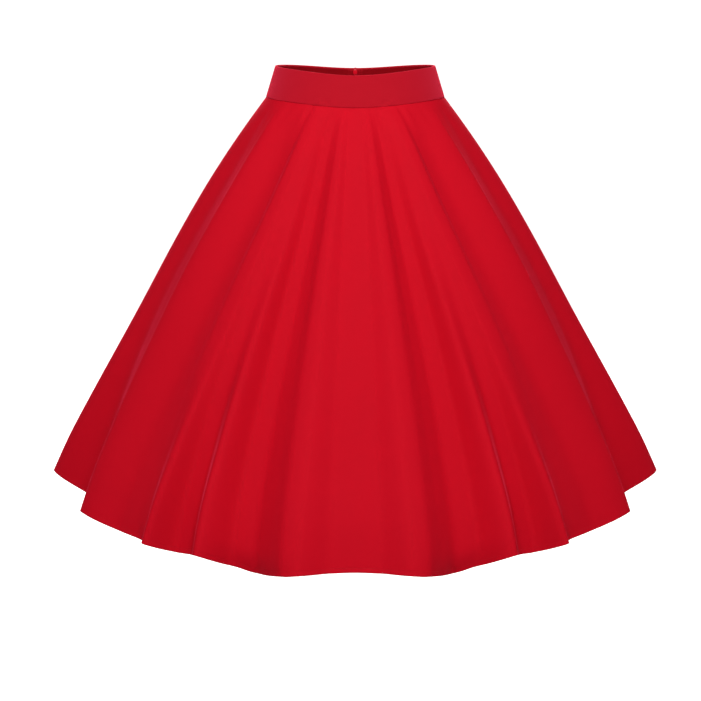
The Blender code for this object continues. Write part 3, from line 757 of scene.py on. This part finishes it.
def enamel_finish(name, colour):
    """Baked enamel on zinc: faint orange peel, uneven gloss and a few worn specks of bare metal."""
    finish = bpy.data.materials.new(name)
    finish.use_nodes = True
    tree = finish.node_tree
    shader = tree.nodes["Principled BSDF"]
    shader.inputs["Coat Weight"].default_value = 0.6
    shader.inputs["Coat Roughness"].default_value = 0.12
    place = add_node(tree, "TexCoord")
    peel = add_node(tree, "TexNoise", {"Scale": 2200.0, "Detail": 2.0})
    haze = add_node(tree, "TexNoise", {"Scale": 380.0, "Detail": 4.0})
    specks = add_node(tree, "TexNoise", {"Scale": 900.0, "Detail": 5.0, "Roughness": 0.7})
    worn = add_node(tree, "MapRange", {"From Min": 0.70, "From Max": 0.73})
    paint = add_node(tree, "Mix", data_type="RGBA")
    paint.inputs["A"].default_value = (*colour, 1)
    paint.inputs["B"].default_value = (0.62, 0.50, 0.50, 1)
    gloss = add_node(tree, "MapRange", {"To Min": 0.24, "To Max": 0.46})
    bump = add_node(tree, "Bump", {"Strength": 0.35, "Distance": 0.00003})
    for texture in (peel, haze, specks):
        tree.links.new(place.outputs["Object"], texture.inputs["Vector"])
    tree.links.new(specks.outputs["Fac"], worn.inputs["Value"])
    tree.links.new(worn.outputs[0], paint.inputs["Factor"])
    tree.links.new(worn.outputs[0], shader.inputs["Metallic"])
    tree.links.new(paint.outputs["Result"], shader.inputs["Base Color"])
    tree.links.new(haze.outputs["Fac"], gloss.inputs["Value"])
    tree.links.new(gloss.outputs[0], shader.inputs["Roughness"])
    tree.links.new(peel.outputs["Fac"], bump.inputs["Height"])
    tree.links.new(bump.outputs[0], shader.inputs["Normal"])
    return finish


def oval_plate(plate):
    """A mesh of an oval plate with rounded edges, drawn facing up."""
    build = bmesh.new()
    ring = bmesh.ops.create_circle(build, cap_ends=True, segments=48, radius=1.0)["verts"]
    for vert in ring:
        across, up = (math.copysign(abs(place) ** 0.8, place) for place in vert.co[:2])
        vert.co = (across * plate.width / 2, up * plate.height / 2, plate.start)
    face = ring[0].link_faces[0]
    if face.normal.z < 0:
        face.normal_flip()
    risen = bmesh.ops.extrude_face_region(build, geom=[face])["geom"]
    top = [part for part in risen if isinstance(part, bmesh.types.BMFace)][0]
    bmesh.ops.translate(build, vec=(0, 0, plate.thick), verts=top.verts[:])
    if plate.ridge:
        bmesh.ops.inset_region(build, faces=[top], thickness=plate.width * 0.22)
        bmesh.ops.translate(build, vec=(0, 0, plate.ridge), verts=top.verts[:])
    joins = [edge for edge in build.edges if len(edge.link_faces) == 2]
    rims = [edge for edge in joins if edge.calc_face_angle(0) > 1.0]
    bmesh.ops.bevel(
        build, geom=rims, offset=plate.rounding, segments=3, profile=0.5, affect="EDGES", material=-1
    )
    mesh = bpy.data.meshes.new("plate")
    build.to_mesh(mesh)
    build.free()
    return mesh


def holed_plate(build, outline, hole, thick):
    """A flat plate with a hole: both are rings of as many points, in the plane, from the same direction."""
    rings = []
    for points in (outline, hole):
        verts = [build.verts.new((x, y, -thick / 2)) for x, y in points]
        rings += [build.edges.new(pair) for pair in zip(verts, verts[1:] + verts[:1])]
    faces = bmesh.ops.bridge_loops(build, edges=rings)["faces"]
    risen = bmesh.ops.extrude_face_region(build, geom=faces)["geom"]
    raised = [part for part in risen if isinstance(part, bmesh.types.BMVert)]
    bmesh.ops.translate(build, vec=(0, 0, thick), verts=raised)
    bmesh.ops.recalc_face_normals(build, faces=build.faces)
    joins = [edge for edge in build.edges if len(edge.link_faces) == 2]
    square = [edge for edge in joins if abs(edge.calc_face_angle(0) - math.pi / 2) < 0.2]
    rims = [edge for edge in square if abs(edge.verts[0].co.z - edge.verts[1].co.z) < thick / 9]
    bmesh.ops.bevel(
        build, geom=rims, offset=thick * 0.2, segments=3, profile=0.5, affect="EDGES", material=-1
    )


red_enamel = enamel_finish("red enamel", (0.780, 0.0040, 0.0200))
lean = math.atan((BAND_FOOT_HALF_DEPTH - BAND_TOP_HALF_DEPTH) / BAND_RISE)
seat = Vector(band_points(np.array([180.0]), (BAND_HEIGHT - SLIDER_DEPTH,))[0, 0])
# The slider's own axes: X to the wearer's left, Y out of the waistband, Z up its slope
slider_axes = Matrix.Translation(seat) @ Matrix.Rotation(lean, 4, "X")
build = bmesh.new()
for plate in SLIDER_PLATES:
    plate_mesh = oval_plate(plate)
    build.from_mesh(plate_mesh)
    bpy.data.meshes.remove(plate_mesh)
# The plates were drawn facing up, and turn to face the wearer
bmesh.ops.transform(build, matrix=slider_axes @ Matrix.Rotation(math.pi / 2, 4, "X"), verts=build.verts)
slider_body = finished("slider_body", build, red_enamel, "garment")
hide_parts("zip_slider")
# The blade is round about its hole, and reaches back square to the body
build = bmesh.new()
turns = np.radians(np.arange(0, 360, 9) + 4.5)
outline = []
for turn in turns:
    out, up = math.cos(turn), math.sin(turn)
    if out < 0:
        out = -(abs(out) ** BLADE_SQUARENESS) * BLADE_REACH
        up = math.copysign(abs(up) ** BLADE_SQUARENESS, up)
    outline.append((out * (PIVOT_HOLE_RADIUS + BLADE_RIM), up * BLADE_HALF_HEIGHT))
hole = [(math.cos(turn) * PIVOT_HOLE_RADIUS, math.sin(turn) * PIVOT_HOLE_RADIUS) for turn in turns]
holed_plate(build, outline, hole, BLADE_WIDTH)
# Drawn with X outwards and Y up, across its thickness Z: turned so that Z is across the zip
blade_turn = Matrix(((0, 0, 1, 0), (1, 0, 0, 0), (0, 1, 0, 0), (0, 0, 0, 1)))
bmesh.ops.transform(
    build, matrix=slider_axes @ Matrix.Translation((0, PIVOT_OUT, 0)) @ blade_turn, verts=build.verts
)
finished("slider_blade", build, red_enamel, "garment")

# Pull tab: a flat enamelled drop of pressed metal with a window at its top. The bar above the window
# passes through the blade's hole, and the tab hangs from it against the waistband.
TAB_LENGTH, TAB_NECK_WIDTH, TAB_WIDTH, TAB_THICK = 0.021, 0.0042, 0.0056, 0.00095
TAB_BAR, TAB_WINDOW_WIDTH, TAB_WINDOW_LENGTH = 0.0005, 0.002, 0.0029
TAB_REST_GAP, TAB_FULL_THICK = 0.0004, 0.001
shoulder, foot_centre = -2 * TAB_BAR - TAB_WINDOW_LENGTH, -TAB_LENGTH + TAB_WIDTH / 2
half_neck, half_tab = TAB_NECK_WIDTH / 2, TAB_WIDTH / 2
# The right side of the outline, from the bar's top down, and of the window, with as many points
right_side = [(0.0, TAB_BAR), (0.55 * half_neck, TAB_BAR), (half_neck, 0.2 * TAB_BAR)]
right_side += [(half_neck, shoulder * share) for share in (0.3, 0.62, 1)]
right_side += [
    (half_neck + (half_tab - half_neck) * share, shoulder + (foot_centre - shoulder) * share)
    for share in (0.33, 0.66)
]
right_side += [
    (math.cos(turn) * half_tab, foot_centre - math.sin(turn) * half_tab)
    for turn in np.radians((0, 22, 44, 66, 90))
]
half_window, window_foot = TAB_WINDOW_WIDTH / 2, -TAB_BAR - TAB_WINDOW_LENGTH
right_hole = [(0.0, -TAB_BAR), (0.7 * half_window, -TAB_BAR), (half_window, -1.5 * TAB_BAR)]
right_hole += [
    (half_window, window_foot * share - TAB_BAR * (1 - share)) for share in (0.2, 0.4, 0.6, 0.75, 0.88)
]
right_hole += [
    (half_window * share, window_foot + up)
    for share, up in ((0.96, 0.00018), (0.8, 0.000075), (0.6, 0.000015), (0.3, 0.0), (0.0, 0.0))
]
build = bmesh.new()
outline = right_side + [(-x, y) for x, y in right_side[-2:0:-1]]
hole = right_hole + [(-x, y) for x, y in right_hole[-2:0:-1]]
holed_plate(build, outline, hole, TAB_THICK)
tip_swing = math.asin((PIVOT_OUT - TAB_FULL_THICK / 2 - TAB_REST_GAP) / TAB_LENGTH)
tab_axes = slider_axes @ Matrix.Translation((0, PIVOT_OUT, 0)) @ Matrix.Rotation(-tip_swing, 4, "X")
bmesh.ops.transform(build, matrix=tab_axes @ Matrix.Rotation(math.pi / 2, 4, "X"), verts=build.verts)
pull_tab = finished("zip_pull_tab", build, red_enamel, "pull_tab")
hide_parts("zip_pull")

# Floor and light: a pale floor where a wearer's feet would stand, which rises all round into a pale
# backdrop, and soft light from beside the camera.
FLOOR_HEIGHT, FLOOR_RADIUS, CURVE_RADIUS, BACKDROP_HEIGHT = -1.05, 6.5, 2.0, 5.0
build = bmesh.new()
profile = [(0.0, 0.0), (2.0, 0.0), (4.0, 0.0)]
profile += [
    (FLOOR_RADIUS - CURVE_RADIUS * (1 - math.sin(turn)), CURVE_RADIUS * (1 - math.cos(turn)))
    for turn in np.radians(range(0, 91, 10))
]
profile += [(FLOOR_RADIUS, BACKDROP_HEIGHT)]
line = [build.verts.new((out, 0, FLOOR_HEIGHT + up)) for out, up in profile]
edges = [build.edges.new(pair) for pair in zip(line, line[1:])]
bmesh.ops.spin(
    build, geom=line + edges, cent=(0, 0, 0), axis=(0, 0, 1), angle=2 * math.pi, steps=96, use_merge=True
)
bmesh.ops.remove_doubles(build, verts=build.verts, dist=0.0001)
for face in build.faces:
    face.smooth = True
    if face.normal.dot(face.calc_center_median() - Vector((0, 0, 2))) > 0:
        face.normal_flip()
floor_mesh = bpy.data.meshes.new("floor")
build.to_mesh(floor_mesh)
build.free()
floor = bpy.data.objects.new("floor", floor_mesh)
bpy.context.scene.collection.objects.link(floor)
floor_finish = bpy.data.materials.new("pale floor")
floor_finish.use_nodes = True
floor_tree = floor_finish.node_tree
paint = floor_tree.nodes["Principled BSDF"]
tone = add_node(floor_tree, "MapRange", {"To Min": 0.25, "To Max": 0.85})
paint.inputs["Roughness"].default_value = 1.0
paint.inputs["Specular IOR Level"].default_value = 0.0
paint.inputs["Emission Color"].default_value = (1, 1, 1, 1)
# The backdrop glows for the camera alone, so that it's near white and the folds keep their shade
seen = add_node(floor_tree, "LightPath")
glow = add_node(floor_tree, "Math", operation="MULTIPLY")
glow.inputs[1].default_value = 0.95
floor_tree.links.new(seen.outputs["Is Camera Ray"], glow.inputs[0])
floor_tree.links.new(glow.outputs[0], paint.inputs["Emission Strength"])
floor_tree.links.new(seen.outputs["Is Camera Ray"], tone.inputs["Value"])
floor_tree.links.new(tone.outputs[0], paint.inputs["Base Color"])
# A camera below the floor sees through it
clear = add_node(floor_tree, "BsdfTransparent")
side_seen = add_node(floor_tree, "NewGeometry")
choice = add_node(floor_tree, "MixShader")
floor_tree.links.new(side_seen.outputs["Backfacing"], choice.inputs[0])
floor_tree.links.new(paint.outputs[0], choice.inputs[1])
floor_tree.links.new(clear.outputs[0], choice.inputs[2])
floor_tree.links.new(choice.outputs[0], floor_tree.nodes["Material Output"].inputs["Surface"])
floor_mesh.materials.append(floor_finish)

world = bpy.data.worlds.new("soft room")
bpy.context.scene.world = world
world.use_nodes = True
background = world.node_tree.nodes["Background"]
background.inputs["Color"].default_value = (1, 1, 1, 1)
background.inputs["Strength"].default_value = 0.18

for name, place, size, power in (
    ("high front light", (0.0, -2.5, 1.85), 2.0, 91),
    ("front light", (0.0, -3.3, 0.6), 1.2, 8),
    ("left light", (2.6, -1.2, 1.6), 1.8, 12),
    ("right light", (-2.6, -1.2, 1.6), 1.8, 12),
    ("back light", (0.0, 3.0, 1.6), 2.4, 85),
):
    lamp_data = bpy.data.lights.new(name, "AREA")
    lamp_data.shape = "DISK"
    lamp_data.size = size
    lamp_data.energy = power
    lamp = bpy.data.objects.new(name, lamp_data)
    lamp.location = place
    lamp.rotation_euler = (Vector((0, 0, -0.3)) - Vector(place)).to_track_quat("-Z", "Y").to_euler()
    bpy.context.scene.collection.objects.link(lamp)

bpy.context.scene.view_settings.view_transform = "Standard"
bpy.context.scene.view_settings.look = "None"
